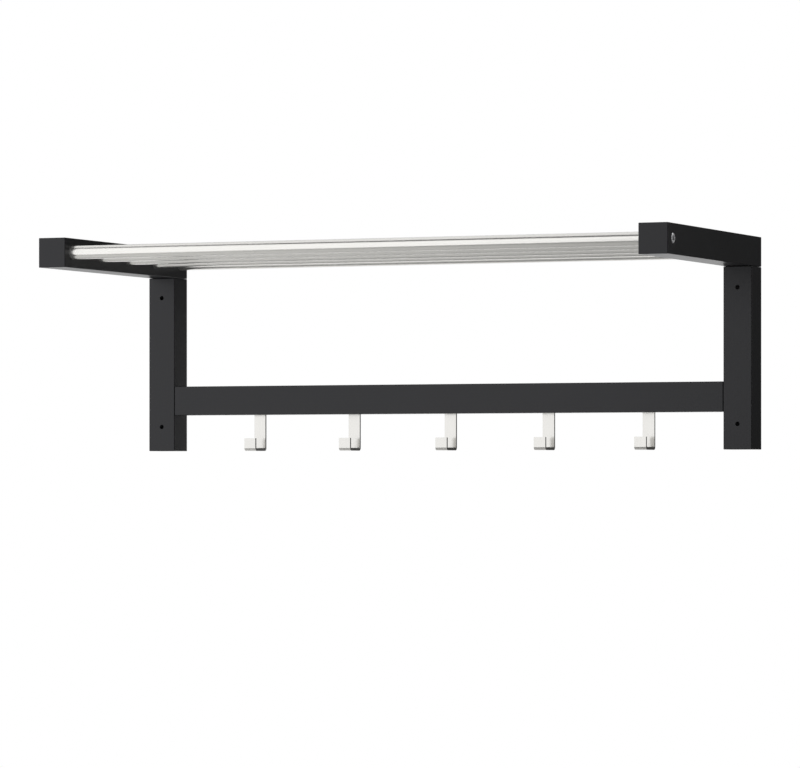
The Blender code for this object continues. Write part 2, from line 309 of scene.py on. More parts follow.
@dataclass(frozen=True)
class BlackLacquer:
    """Satin black lacquer over solid wood, its grain just showing through."""

    name: str
    grain: Grain
    pith: Point
    dark: Colour = (0.0024, 0.0025, 0.0032)
    light: Colour = (0.0062, 0.0064, 0.0080)
    rubbed: Colour = (0.018, 0.018, 0.020)
    ring_width: float = 0.0034
    roughness: float = 0.30
    relief: float = 0.000022

    def rings(self, graph: ShaderGraph, place: Any) -> Any:
        """Draw growth rings round the pith.

        Args:
            graph: The material's nodes.
            place: Coordinates with the pith along Z.

        Returns:
            Socket of the ring pattern, 0 in the early wood to 1 in the late wood.
        """
        waver = graph.noise(graph.stretch(place, (1.0, 1.0, 0.25)), 16.0, 1.0)
        parts = graph.add("ShaderNodeSeparateXYZ", {0: place}).outputs
        across = graph.math("POWER", parts[0], 2.0)
        radius = graph.math("SQRT", graph.math("ADD", across, graph.math("POWER", parts[1], 2.0)))
        wavered = graph.math("ADD", radius, graph.math("MULTIPLY", waver, 4.0 * self.ring_width))
        share = graph.math("FRACT", graph.math("DIVIDE", wavered, self.ring_width))
        growing = graph.math("POWER", share, 2.2)
        return graph.math("MULTIPLY", growing, graph.remap(share, (0.90, 1.0), (1.0, 0.0)))

    def material(self) -> bpy.types.Material:
        """Build the material.

        Returns:
            The lacquer for one bar.
        """
        graph = ShaderGraph(self.name)
        place = graph.place(turn=self.grain.value, shift=self.pith)
        rings = self.rings(graph, place)
        fibres = graph.noise(graph.stretch(place, (1.0, 1.0, 0.035)), 1500.0, 3.0, 0.6)
        specks = graph.noise(graph.stretch(place, (1.0, 1.0, 0.10)), 2600.0)
        pores = graph.remap(specks, (0.30, 0.42), (0.0, 1.0))
        peel = graph.noise(place, 420.0, 1.0)
        patches = graph.noise(place, 22.0, 2.0)
        rub = graph.add("ShaderNodeAttribute", attribute_name=RUB_ATTRIBUTE).outputs["Fac"]
        uneven = graph.remap(graph.noise(place, 90.0, 3.0), (0.42, 0.68), (0.1, 0.75))
        worn = graph.math("MULTIPLY", rub, uneven)

        tone = graph.math("MULTIPLY_ADD", rings, 0.35, graph.math("MULTIPLY", fibres, 0.55))
        tone = graph.math("ADD", tone, graph.remap(patches, (0.3, 0.7), (-0.12, 0.12)))
        colour = graph.blend(worn, graph.blend(tone, self.dark, self.light), self.rubbed)

        gloss = graph.math("MULTIPLY_ADD", fibres, 0.07, self.roughness - 0.035)
        gloss = graph.math("MULTIPLY_ADD", patches, 0.06, graph.math("SUBTRACT", gloss, 0.03))
        gloss = graph.math("MULTIPLY_ADD", worn, -0.05, gloss)

        height = graph.math("MULTIPLY_ADD", rings, 0.30, graph.math("MULTIPLY", fibres, 0.35))
        height = graph.math("MULTIPLY_ADD", pores, 0.25, height)
        height = graph.math("MULTIPLY_ADD", peel, 0.45, height)
        return graph.finish(colour, gloss, height, self.relief, ior=1.5, specular_tint=(0.96, 0.96, 1.0, 1.0))


@dataclass(frozen=True)
class SatinAluminium:
    """Aluminium with a fine lengthwise satin, clear-anodised."""

    name: str
    streak: Point
    colour: Colour = (0.930, 0.918, 0.888)
    shaded: Colour = (0.850, 0.838, 0.808)
    roughness: float = 0.22
    metallic: float = 0.82
    relief: float = 0.000004

    def material(self) -> bpy.types.Material:
        """Build the material.

        Returns:
            The satin aluminium.
        """
        graph = ShaderGraph(self.name)
        place = graph.place()
        lines = graph.noise(graph.stretch(place, self.streak), 1700.0, 3.0, 0.65)
        bands = graph.noise(graph.stretch(place, self.streak), 260.0, 1.0)
        cloud = graph.noise(place, 18.0, 3.0)
        smears = graph.noise(graph.stretch(place, (0.5, 1.0, 1.0)), 320.0, 2.0)
        marks = graph.remap(smears, (0.66, 0.74), (0.0, 1.0))
        tone = graph.math("MULTIPLY_ADD", lines, 0.7, graph.math("MULTIPLY", bands, 0.3))
        tone = graph.math("MULTIPLY_ADD", cloud, 0.25, tone)
        colour = graph.blend(graph.math("MULTIPLY", tone, 0.7), self.colour, self.shaded)
        gloss = graph.math("MULTIPLY_ADD", lines, 0.08, self.roughness - 0.04)
        gloss = graph.math("MULTIPLY_ADD", graph.remap(cloud, (0.35, 0.65), (-0.015, 0.02)), 1.0, gloss)
        gloss = graph.math("MULTIPLY_ADD", marks, 0.04, gloss)
        height = graph.math("MULTIPLY_ADD", bands, 0.3, lines)
        return graph.finish(colour, gloss, height, self.relief, metallic=self.metallic)


@dataclass(frozen=True)
class PlatedSteel:
    """Zinc-plated steel, faintly mottled."""

    name: str
    colour: Colour = (0.78, 0.78, 0.79)
    dull: Colour = (0.62, 0.63, 0.64)
    roughness: float = 0.44
    relief: float = 0.000006

    def material(self) -> bpy.types.Material:
        """Build the material.

        Returns:
            The plated steel.
        """
        graph = ShaderGraph(self.name)
        place = graph.place()
        mottle = graph.noise(place, 900.0, 4.0, 0.6)
        turned = graph.noise(graph.stretch(place, (6.0, 1.0, 1.0)), 1400.0, 2.0)
        tone = graph.remap(graph.math("MULTIPLY_ADD", turned, 0.4, mottle), (0.45, 0.95), (0.0, 1.0))
        colour = graph.blend(tone, self.dull, self.colour)
        gloss = graph.math("MULTIPLY_ADD", mottle, 0.14, self.roughness - 0.07)
        return graph.finish(colour, gloss, turned, self.relief, metallic=1.0)


@dataclass(frozen=True)
class PlainBeech:
    """Unfinished beech with its short dark flecks."""

    name: str
    grain: Grain
    pale: Colour = (0.62, 0.44, 0.27)
    fleck: Colour = (0.36, 0.21, 0.11)
    relief: float = 0.00004

    def material(self) -> bpy.types.Material:
        """Build the material.

        Returns:
            The beech.
        """
        graph = ShaderGraph(self.name)
        place = graph.place(turn=self.grain.value)
        fibres = graph.noise(graph.stretch(place, (1.0, 1.0, 0.06)), 1300.0, 3.0, 0.6)
        flecks = graph.noise(graph.stretch(place, (1.0, 1.0, 0.20)), 900.0, 1.0)
        marks = graph.remap(flecks, (0.58, 0.66), (0.0, 0.8))
        colour = graph.blend(graph.math("MULTIPLY_ADD", fibres, 0.3, marks), self.pale, self.fleck)
        gloss = graph.math("MULTIPLY_ADD", fibres, 0.2, 0.50)
        return graph.finish(colour, gloss, fibres, self.relief)


class Recipe(Graph):
    """A Geometry Nodes tree whose sizes are named inputs."""

    def __init__(self, name: str) -> None:
        """Start a tree with geometry in and out."""
        super().__init__(bpy.data.node_groups.new(name, "GeometryNodeTree"))
        face = self.tree.interface
        face.new_socket("Geometry", in_out="OUTPUT", socket_type="NodeSocketGeometry")
        face.new_socket("Shape", in_out="INPUT", socket_type="NodeSocketGeometry")
        self.source = self.add("NodeGroupInput")
        self.keys: dict[str, str] = {}

    def size(self, name: str, kind: str = "NodeSocketFloat") -> bpy.types.NodeSocket:
        """Declare a named input.

        Args:
            name: The input's name.
            kind: Its socket type.

        Returns:
            The socket that gives its value inside the tree.
        """
        socket = self.tree.interface.new_socket(name, in_out="INPUT", socket_type=kind)
        self.keys[name] = socket.identifier
        return next(s for s in self.source.outputs if s.identifier == socket.identifier)

    def vector(self, x: Any = 0.0, y: Any = 0.0, z: Any = 0.0) -> bpy.types.NodeSocket:
        """Join three values.

        Args:
            x: Value or socket.
            y: Value or socket.
            z: Value or socket.

        Returns:
            The vector's socket.
        """
        return self.add("ShaderNodeCombineXYZ", {0: x, 1: y, 2: z}).outputs[0]

    def row(self, shape: Any, count: Any, first: Any, step: Any) -> bpy.types.NodeSocket:
        """Repeat a shape at equal steps.

        Args:
            shape: Socket of the geometry.
            count: How many there are.
            first: Place of the first one.
            step: Way from each to the next.

        Returns:
            Socket of the instances.
        """
        line = self.add("GeometryNodeMeshLine", {"Count": count, "Start Location": first, "Offset": step})
        inputs = {"Points": line.outputs[0], "Instance": shape}
        return self.add("GeometryNodeInstanceOnPoints", inputs).outputs[0]

    def close(self, instances: Any) -> None:
        """End the tree in real, dressed geometry.

        Args:
            instances: Socket of what was made.
        """
        finish = self.size("Finish", "NodeSocketMaterial")
        real = self.add("GeometryNodeRealizeInstances", {0: instances}).outputs[0]
        dressed = self.add("GeometryNodeSetMaterial", {"Geometry": real, "Material": finish}).outputs[0]
        self.add("NodeGroupOutput", {0: dressed})

    def make(self, name: str, shape: bpy.types.Mesh, **values: Any) -> bpy.types.Object:
        """Run the tree once.

        Args:
            name: Name of the new piece.
            shape: Mesh that goes in.
            **values: The named inputs, with _ for a space.

        Returns:
            The piece as a plain mesh.
        """
        piece = link(bpy.data.objects.new(name, shape))
        modifier = piece.modifiers.new(self.tree.name, "NODES")
        modifier.node_group = self.tree
        for key, value in values.items():
            modifier[self.keys[key.replace("_", " ").capitalize()]] = value
        return settle(piece)


def link(piece: bpy.types.Object) -> bpy.types.Object:
    """Put an object into the scene.

    Args:
        piece: The object.

    Returns:
        The same object.
    """
    bpy.context.scene.collection.objects.link(piece)
    return piece


def settle(piece: bpy.types.Object) -> bpy.types.Object:
    """Make what a piece's modifiers show its plain mesh, and remove them.

    Args:
        piece: Object with modifiers.

    Returns:
        The same object.
    """
    name = piece.name
    evaluated = piece.evaluated_get(bpy.context.evaluated_depsgraph_get())
    mesh = bpy.data.meshes.new_from_object(evaluated)
    old = piece.data
    piece.modifiers.clear()
    piece.data = mesh
    bpy.data.meshes.remove(old)
    mesh.name = name
    return piece


def soften(piece: bpy.types.Object) -> bpy.types.Object:
    """Shade a piece smooth across its roundings, with true flats and crisp corners.

    Args:
        piece: Object with a plain mesh.

    Returns:
        The same object.
    """
    piece.data.shade_smooth()
    piece.data.set_sharp_from_angle(angle=SMOOTH_LIMIT)
    weighted = piece.modifiers.new("true_flats", "WEIGHTED_NORMAL")
    weighted.keep_sharp = True
    return settle(piece)


def hand_over(piece: bpy.types.Object, slot: Slot, *nodes: str) -> None:
    """Fix a finished piece to the frame in place of CAD nodes.

    Args:
        piece: The finished piece.
        slot: Not used.
        *nodes: The CAD nodes that it stands for.
    """
    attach(piece, BODY)
    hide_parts(*nodes)
    LOG.info("%s: %d faces, for %s", piece.name, len(piece.data.polygons), ", ".join(nodes))


def turned_mesh(name: str, profile: list[tuple[float, float]], facets: int) -> bpy.types.Mesh:
    """Turn a profile about Z into a closed solid.

    Args:
        name: Name of the mesh.
        profile: Points (radius, height) from one pole to the other.
        facets: Number of facets round the axis.

    Returns:
        The closed mesh, its faces outward.
    """
    shape = bmesh.new()
    rings = []
    for radius, height in profile:
        if radius < MERGE_DISTANCE:
            rings.append([shape.verts.new((0, 0, height))])
            continue
        angles = [2 * math.pi * step / facets for step in range(facets)]
        rings.append([shape.verts.new((radius * math.cos(a), radius * math.sin(a), height)) for a in angles])
    for upper, lower in zip(rings, rings[1:]):
        for step in range(facets):
            after = (step + 1) % facets
            corners = [upper[step % len(upper)], lower[step % len(lower)]]
            corners += [lower[after % len(lower)], upper[after % len(upper)]]
            shape.faces.new(list(dict.fromkeys(corners)))
    bmesh.ops.recalc_face_normals(shape, faces=shape.faces)
    mesh = bpy.data.meshes.new(name)
    shape.to_mesh(mesh)
    shape.free()
    return mesh


def aim(mesh: bpy.types.Mesh, origin: Vector, axis: Vector) -> bpy.types.Mesh:
    """Lay a mesh's own Z along an axis and move it to its place.

    Args:
        mesh: The mesh.
        origin: Where its origin goes.
        axis: Direction for its Z.

    Returns:
        The same mesh.
    """
    mesh.transform(Matrix.Translation(origin) @ axis.to_track_quat("Z", "Y").to_matrix().to_4x4())
    return mesh


@dataclass(frozen=True)
class Bore:
    """A round hole with a broken rim, from its mouth on a face."""

    mouth: Vector
    into: Vector
    diameter: float
    depth: float
    rim: float = 0.0003
    facets: int = 48
    through: bool = False

    def profile(self) -> list[tuple[float, float]]:
        """Give the cutter's outline.

        Returns:
            Points (radius, height), from outside the mouth to the hole's end.
        """
        radius = self.diameter / 2
        points = [(0.0, -OVERSHOOT), (radius + self.rim + OVERSHOOT, -OVERSHOOT), (radius, self.rim)]
        if self.through:
            points.append((radius, self.depth - self.rim))
            points.append((radius + self.rim + OVERSHOOT, self.depth + OVERSHOOT))
            points.append((0.0, self.depth + OVERSHOOT))
        else:
            points += [(radius, self.depth), (0.0, self.depth)]
        return points

    def cut(self, piece: bpy.types.Object) -> None:
        """Take the hole out of a piece.

        Args:
            piece: The piece to drill.
        """
        cutter = aim(turned_mesh("cutter", self.profile(), self.facets), self.mouth, self.into)
        subtract(piece, cutter)


def subtract(piece: bpy.types.Object, cutter_mesh: bpy.types.Mesh) -> None:
    """Take a closed mesh's volume out of a piece.

    Args:
        piece: The piece to cut.
        cutter_mesh: The closed mesh, which is used up.
    """
    cutter = link(bpy.data.objects.new("cutter", cutter_mesh))
    boolean = piece.modifiers.new("cut", "BOOLEAN")
    boolean.operation = "DIFFERENCE"
    boolean.solver = "EXACT"
    boolean.object = cutter
    settle(piece)
    bpy.data.objects.remove(cutter)
    bpy.data.meshes.remove(cutter_mesh)


@dataclass
class WoodenBar:
    """A straight lacquered bar with rounded edges and drilled holes."""

    node: str
    finish: BlackLacquer
    bores: list[Bore] = field(default_factory=list)
    edge_radius: float = 0.0008
    edge_steps: int = 5

    def blank(self, block: Block) -> bpy.types.Object:
        """Make the undrilled bar.

        Args:
            block: The box that it fills.

        Returns:
            A bar with rounded edges.
        """
        shape = bmesh.new()
        size = Matrix.Diagonal((*block.size, 1.0))
        bmesh.ops.create_cube(shape, size=1.0, matrix=Matrix.Translation(block.middle) @ size)
        bmesh.ops.bevel(
            shape,
            geom=shape.edges[:] + shape.verts[:],
            offset=self.edge_radius,
            segments=self.edge_steps,
            profile=0.5,
            affect="EDGES",
        )
        mesh = bpy.data.meshes.new(self.node)
        shape.to_mesh(mesh)
        shape.free()
        return link(bpy.data.objects.new(f"{self.node}_bar", mesh))

    def mark_edges(self, mesh: bpy.types.Mesh, block: Block) -> None:
        """Store how far each point is into a rounded edge, for the rubbed lacquer.

        Args:
            mesh: The bar's mesh.
            block: The box that it fills.
        """
        points = np.empty(len(mesh.vertices) * 3)
        mesh.vertices.foreach_get("co", points)
        points = points.reshape(-1, 3)
        inside = np.sort(np.minimum(points - np.array(block.low), np.array(block.high) - points), axis=1)
        crown = self.edge_radius * (1 - math.sqrt(0.5))
        value = np.clip(inside[:, 0] / crown, 0, 1) * (inside[:, 1] < self.edge_radius)
        attribute = mesh.attributes.new(RUB_ATTRIBUTE, "FLOAT", "POINT")
        attribute.data.foreach_set("value", value.astype(np.float32))

    def build(self) -> bpy.types.Object:
        """Make the bar, drill it and dress it.

        Returns:
            The finished bar.
        """
        block = Block.of(self.node)
        piece = self.blank(block)
        for bore in self.bores:
            bore.cut(piece)
        self.mark_edges(piece.data, block)
        soften(piece)
        piece.data.materials.clear()
        piece.data.materials.append(self.finish.material())
        hand_over(piece, Slot.WOOD, self.node)
        return piece


@dataclass
class Bracket:
    """One end of the rack: an arm that lies on a leg."""

    side: Side
    fit_gap: float = 0.0003
    tube_seat_rim: float = 0.0003
    bolt_hole_diameter: float = 0.0066
    bolt_recess_diameter: float = 0.0131
    bolt_recess_depth: float = 0.0033
    wall_hole_diameter: float = 0.0045
    wall_hole_heights: tuple[float, float] = (0.030, 0.190)
    wall_hole_rim: float = 0.0005

    def dowel_bores(self, joint: str, into: Vector) -> list[Bore]:
        """Give the blind bores for one joint's two dowels.

        Args:
            joint: The joint's word in the dowels' names.
            into: Direction from the joint's plane into this bar.

        Returns:
            The two bores.
        """
        bores = []
        for number in (1, 2):
            dowel = Block.of(f"{self.side.label}_{joint}_dowel_{number}")
            diameter = sorted(dowel.size)[0] + 2 * self.fit_gap
            depth = sorted(dowel.size)[2] / 2 + self.fit_gap
            bores.append(Bore(dowel.middle, into, diameter, depth, rim=0.0, facets=32))
        return bores

    def arm_bores(self) -> list[Bore]:
        """Give the arm's tube seats, bolt hole and dowel bores.

        Returns:
            The arm's bores.
        """
        arm = Block.of(f"{self.side.label}_arm")
        outward = self.side.outward
        bores = []
        for number in range(1, TubeShelf.count + 1):
            tube = Block.of(f"shelf_tube_{number}")
            mouth = Vector((arm.face(-outward).x, tube.middle.y, tube.middle.z))
            depth = abs(tube.face(outward).x - mouth.x) + self.fit_gap
            bores.append(Bore(mouth, outward, tube.size.y + 2 * self.fit_gap, depth, self.tube_seat_rim, 64))
        bolt = Block.of(f"{self.side.label}_tie_bolt")
        mouth = bolt.face(outward)
        reach = arm.size.x - bores[0].depth / 2
        bores.append(Bore(mouth, -outward, self.bolt_hole_diameter, reach, rim=0.0, facets=32))
        bores.append(Bore(mouth, -outward, self.bolt_recess_diameter, self.bolt_recess_depth, facets=64))
        return bores + self.dowel_bores("arm", Vector((0, 0, 1)))

    def leg_bores(self) -> list[Bore]:
        """Give the leg's wall holes and dowel bores.

        Returns:
            The leg's bores.
        """
        leg = Block.of(f"{self.side.label}_leg")
        bores = [
            Bore(
                Vector((leg.middle.x, leg.low.y, height)),
                Vector((0, 1, 0)),
                self.wall_hole_diameter,
                leg.size.y,
                self.wall_hole_rim,
                40,
                through=True,
            )
            for height in self.wall_hole_heights
        ]
        bores += self.dowel_bores("arm", Vector((0, 0, -1)))
        return bores + self.dowel_bores("rail", self.side.outward)

    def build(self) -> None:
        """Make the arm and the leg."""
        label, sign = self.side.label, self.side.value
        arm_finish = BlackLacquer(f"black_lacquer_{label}_arm", Grain.TO_WALL, (sign * 0.412, -0.19, 0.021))
        leg_finish = BlackLacquer(f"black_lacquer_{label}_leg", Grain.UPRIGHT, (-sign * 0.330, 0.058, 0.3))
        WoodenBar(f"{label}_arm", arm_finish, self.arm_bores()).build()
        WoodenBar(f"{label}_leg", leg_finish, self.leg_bores()).build()


@dataclass
class HookRail:
    """The bar between the legs that carries the hooks."""

    fit_gap: float = 0.0003
    screw_bore_diameter: float = 0.0041

    def bores(self) -> list[Bore]:
        """Give the bores for the dowels at both ends and for the hooks' screws.

        Returns:
            The rail's bores.
        """
        bores = []
        for side in Side:
            for bore in Bracket(side).dowel_bores("rail", -side.outward):
                bores.append(bore)
        back = Block.of("hook_rail").high.y
        for name in sorted(HookScrews.nodes()):
            screw = Block.of(name)
            mouth = Vector((screw.middle.x, back, screw.middle.z))
            depth = back - screw.low.y + self.fit_gap
            bores.append(Bore(mouth, Vector((0, -1, 0)), self.screw_bore_diameter, depth, rim=0.0, facets=24))
        return bores

    def build(self) -> None:
        """Make the rail."""
        finish = BlackLacquer("black_lacquer_rail", Grain.ALONG_RACK, (-0.10, 0.052, 0.0))
        WoodenBar("hook_rail", finish, self.bores()).build()


@dataclass
class TubeShelf:
    """The shelf: a row of equal tubes, seated in both arms."""

    wall: float = 0.0012
    facets: int = 96
    count: int = 5

    def recipe(self) -> Recipe:
        """Write the tree that rolls one tube and repeats it.

        Returns:
            The tree, with the tube's sizes, their number and their spacing as inputs.
        """
        recipe = Recipe("tube_row")
        diameter, wall, length = (recipe.size(name) for name in ("Diameter", "Wall", "Length"))
        facets, count = (recipe.size(name, "NodeSocketInt") for name in ("Facets", "Count"))
        first = recipe.size("First place", "NodeSocketVector")
        spacing = recipe.size("Spacing")
        radius = recipe.math("MULTIPLY", recipe.math("SUBTRACT", diameter, wall), 0.5)
        path = recipe.add("GeometryNodeCurvePrimitiveCircle", {"Resolution": facets, "Radius": radius})
        section = recipe.add("GeometryNodeCurvePrimitiveQuadrilateral", {"Width": wall, "Height": length})
        inputs = {"Curve": path.outputs[0], "Profile Curve": section.outputs[0]}
        tube = recipe.add("GeometryNodeCurveToMesh", inputs).outputs[0]
        inputs = {"Geometry": tube, "Rotation": (0, math.pi / 2, 0)}
        lying = recipe.add("GeometryNodeTransform", inputs).outputs[0]
        recipe.close(recipe.row(lying, count, first, recipe.vector(y=spacing)))
        return recipe

    def build(self) -> None:
        """Make the five tubes as one piece."""
        nodes = [f"shelf_tube_{number}" for number in range(1, self.count + 1)]
        front, rear = Block.of(nodes[0]), Block.of(nodes[-1])
        finish = SatinAluminium("satin_tube_aluminium", streak=(0.02, 1.0, 1.0))
        piece = self.recipe().make(
            "shelf_tubes",
            bpy.data.meshes.new("shelf_tubes"),
            diameter=front.size.y,
            wall=self.wall,
            length=front.size.x,
            facets=self.facets,
            count=self.count,
            first_place=front.middle,
            spacing=(rear.middle.y - front.middle.y) / (self.count - 1),
            finish=finish.material(),
        )
        piece.data.shade_smooth()
        piece.data.set_sharp_from_angle(angle=SMOOTH_LIMIT)
        hand_over(piece, Slot.TUBE, *nodes)


@dataclass
class CoatHooks:
    """Five hooks, each one flat strap bent forward and up again."""

    count: int = 5
    outer_bend: float = 0.004
    bend_steps: int = 8
    edge_radius: float = 0.00035
    thickness: float = 0.003
    screw_hole_diameter: float = 0.0041
    sink_diameter: float = 0.0080
    lip_height: float = 0.0155

    def centreline(self, strap: Block) -> bpy.types.Mesh:
        """Draw the strap's middle line, bends not yet rounded.

        Args:
            strap: The box of one hook.

        Returns:
            A mesh of edges in the plane X = 0, from the plate's top to the lip's top.
        """
        half = self.thickness / 2
        back, front, foot = strap.high.y - half, strap.low.y + half, strap.low.z + half
        points = [(back, strap.high.z), (back, foot), (front, foot), (front, self.lip_height)]
        mesh = bpy.data.meshes.new("strap_line")
        mesh.from_pydata([(0, y, z) for y, z in points], [(0, 1), (1, 2), (2, 3)], [])
        return mesh

    def recipe(self) -> Recipe:
        """Write the tree that bends one strap and repeats it along the rail.

        Returns:
            The tree, with the strap's sizes, the number of hooks and their spacing as inputs.
        """
        recipe = Recipe("hook_row")
        width, thickness, bend = (recipe.size(name) for name in ("Width", "Thickness", "Bend"))
        steps, count = (recipe.size(name, "NodeSocketInt") for name in ("Steps", "Count"))
        first = recipe.size("First place", "NodeSocketVector")
        spacing = recipe.size("Spacing")
        line = recipe.add("GeometryNodeMeshToCurve", {"Mesh": recipe.source.outputs["Shape"]}).outputs[0]
        inputs = {"Curve": line, "Count": steps, "Radius": bend}
        bent = recipe.add("GeometryNodeFilletCurve", inputs, mode="POLY").outputs[0]
        section = recipe.add("GeometryNodeCurvePrimitiveQuadrilateral", {"Width": width, "Height": thickness})
        inputs = {"Curve": bent, "Profile Curve": section.outputs[0], "Fill Caps": True}
        strap = recipe.add("GeometryNodeCurveToMesh", inputs).outputs[0]
        recipe.close(recipe.row(strap, count, first, recipe.vector(x=spacing)))
        return recipe

    def drill(self, piece: bpy.types.Object) -> None:
        """Cut the countersunk screw holes.

        Args:
            piece: The row of straps.
        """
        hole, sink = self.screw_hole_diameter / 2, self.sink_diameter / 2
        for name in HookScrews.nodes():
            screw = Block.of(name)
            mouth = screw.face(Vector((0, 1, 0)))
            profile = [
                (0.0, -OVERSHOOT),
                (sink + OVERSHOOT, -OVERSHOOT),
                (hole, sink - hole),
                (hole, self.thickness + OVERSHOOT),
                (0.0, self.thickness + OVERSHOOT),
            ]
            subtract(piece, aim(turned_mesh("cutter", profile, 32), mouth, Vector((0, -1, 0))))

    def build(self) -> None:
        """Make the five hooks as one piece."""
        nodes = [f"coat_hook_{number}" for number in range(1, self.count + 1)]
        first, last = Block.of(nodes[0]), Block.of(nodes[-1])
        finish = SatinAluminium(
            "satin_hook_aluminium",
            streak=(1.0, 0.03, 0.03),
            colour=(0.800, 0.790, 0.765),
            shaded=(0.690, 0.680, 0.655),
            roughness=0.17,
            metallic=1.0,
        ).material()
        piece = self.recipe().make(
            "coat_hooks",
            self.centreline(first),
            width=first.size.x,
            thickness=self.thickness,
            bend=self.outer_bend - self.thickness / 2,
            steps=self.bend_steps,
            count=self.count,
            first_place=Vector((first.middle.x, 0, 0)),
            spacing=(last.middle.x - first.middle.x) / (self.count - 1),
            finish=finish,
        )
        self.drill(piece)
        bevel = piece.modifiers.new("broken_edges", "BEVEL")
        bevel.width = self.edge_radius
        bevel.segments = 3
        bevel.limit_method = "ANGLE"
        bevel.angle_limit = SMOOTH_LIMIT
        soften(settle(piece))
        hand_over(piece, Slot.HOOK, *nodes)


@dataclass
class HookScrews:
    """Two countersunk wood screws behind each hook."""

    columns: int = 5
    head_diameter: float = 0.0068
    head_rim: float = 0.0003
    shank_diameter: float = 0.0035
    tip_length: float = 0.003
    recess_span: float = 0.0036
    recess_depth: float = 0.0012
    recess_width: float = 0.0009
    facets: int = 40

    @staticmethod
    def nodes() -> list[str]:
        """Name the screws' CAD nodes."""
        return [f"hook_screw_{number}_{level}" for number in range(1, 6) for level in ("lower", "upper")]

    def screw(self, length: float) -> bpy.types.Object:
        """Make one screw, its head's face at Z = 0 and its tip below.

        Args:
            length: From the head's face to the tip.

        Returns:
            The screw with its cross recess.
        """
        head, shank = self.head_diameter / 2, self.shank_diameter / 2
        profile = [
            (0.0, 0.0),
            (head - 0.0001, 0.0),
            (head, -0.0001),
            (head, -self.head_rim),
            (shank, -self.head_rim - (head - shank)),
            (shank, self.tip_length - length),
            (0.0, -length),
        ]
        piece = link(bpy.data.objects.new("hook_screw", turned_mesh("hook_screw", profile, self.facets)))
        for turn in (0, math.pi / 2):
            subtract(piece, self.slot_cutter(turn))
        return piece

    def slot_cutter(self, turn: float) -> bpy.types.Mesh:
        """Make the cutter of one slot of the cross, narrower at its bottom.

        Args:
            turn: Angle of the slot about the screw's axis.

        Returns:
            The cutter's closed mesh.
        """
        shape = bmesh.new()
        bmesh.ops.create_cube(shape, size=1.0)
        for corner in shape.verts:
            low = corner.co.z < 0
            span = self.recess_span * (0.45 if low else 1.0)
            width = self.recess_width * (0.7 if low else 1.0)
            corner.co.x *= span
            corner.co.y *= width
            corner.co.z = -self.recess_depth if low else 0.0005
        bmesh.ops.rotate(shape, cent=(0, 0, 0), matrix=Matrix.Rotation(turn, 3, "Z"), verts=shape.verts)
        mesh = bpy.data.meshes.new("slot_cutter")
        shape.to_mesh(mesh)
        shape.free()
        return mesh

    def recipe(self) -> Recipe:
        """Write the tree that sets the screws out in columns of two.

        Returns:
            The tree, with the numbers and both spacings as inputs.
        """
        recipe = Recipe("screw_grid")
        columns, rows = (recipe.size(name, "NodeSocketInt") for name in ("Columns", "Rows"))
        first = recipe.size("First place", "NodeSocketVector")
        spacing, rise = (recipe.size(name) for name in ("Spacing", "Rise"))
        column = recipe.row(recipe.source.outputs["Shape"], rows, (0, 0, 0), recipe.vector(z=rise))
        recipe.close(recipe.row(column, columns, first, recipe.vector(x=spacing)))
        return recipe

    def build(self) -> None:
        """Make the ten screws as one piece."""
        lower, upper = Block.of("hook_screw_1_lower"), Block.of("hook_screw_1_upper")
        last = Block.of(f"hook_screw_{self.columns}_lower")
        single = self.screw(lower.size.y)
        shape = aim(single.data.copy(), Vector((0, 0, 0)), Vector((0, 1, 0)))
        bpy.data.objects.remove(single)
        piece = self.recipe().make(
            "hook_screws",
            shape,
            columns=self.columns,
            rows=2,
            first_place=lower.face(Vector((0, 1, 0))),
            spacing=(last.middle.x - lower.middle.x) / (self.columns - 1),
            rise=upper.middle.z - lower.middle.z,
            finish=PlatedSteel("plated_screw_steel").material(),
        )
        soften(piece)
        hand_over(piece, Slot.STEEL, *self.nodes())


@dataclass
class TieBolt:
    """The bolt that draws an arm onto the front tube."""

    side: Side
    finish: bpy.types.Material
    head_diameter: float = 0.0125
    head_thickness: float = 0.003
    head_edge: float = 0.0012
    shank_diameter: float = 0.006
    tip_chamfer: float = 0.0004
    socket_across_flats: float = 0.005
    socket_depth: float = 0.002
    socket_lead: float = 0.0003
    facets: int = 64

    def socket_cutter(self) -> bpy.types.Mesh:
        """Make the hexagonal socket's cutter, with a conical lead-in and bottom.

        Returns:
            The cutter's closed mesh.
        """
        corner = self.socket_across_flats / 2 / math.cos(math.pi / 6)
        profile = [
            (0.0, OVERSHOOT),
            (corner + self.socket_lead, OVERSHOOT),
            (corner + self.socket_lead, 0.0),
            (corner, -self.socket_lead),
            (corner, -self.socket_depth),
            (0.0, -self.socket_depth - 0.0006),
        ]
        return turned_mesh("socket_cutter", profile, 6)

    def build(self) -> None:
        """Make the bolt, its head's face outward."""
        node = f"{self.side.label}_tie_bolt"
        block = Block.of(node)
        head, shank, edge = self.head_diameter / 2, self.shank_diameter / 2, self.head_edge
        rounding = [
            (head - edge + edge * math.sin(a), -edge + edge * math.cos(a))
            for a in (math.radians(22.5 * step) for step in range(5))
        ]
        profile = [(0.0, 0.0), *rounding, (head, -self.head_thickness), (shank, -self.head_thickness)]
        profile += [
            (shank, self.tip_chamfer - block.size.x),
            (shank - self.tip_chamfer, -block.size.x),
            (0.0, -block.size.x),
        ]
        piece = link(bpy.data.objects.new(f"{node}_steel", turned_mesh(node, profile, self.facets)))
        subtract(piece, self.socket_cutter())
        aim(piece.data, block.face(self.side.outward), self.side.outward)
        soften(piece)
        piece.data.materials.clear()
        piece.data.materials.append(self.finish)
        hand_over(piece, Slot.STEEL, node)


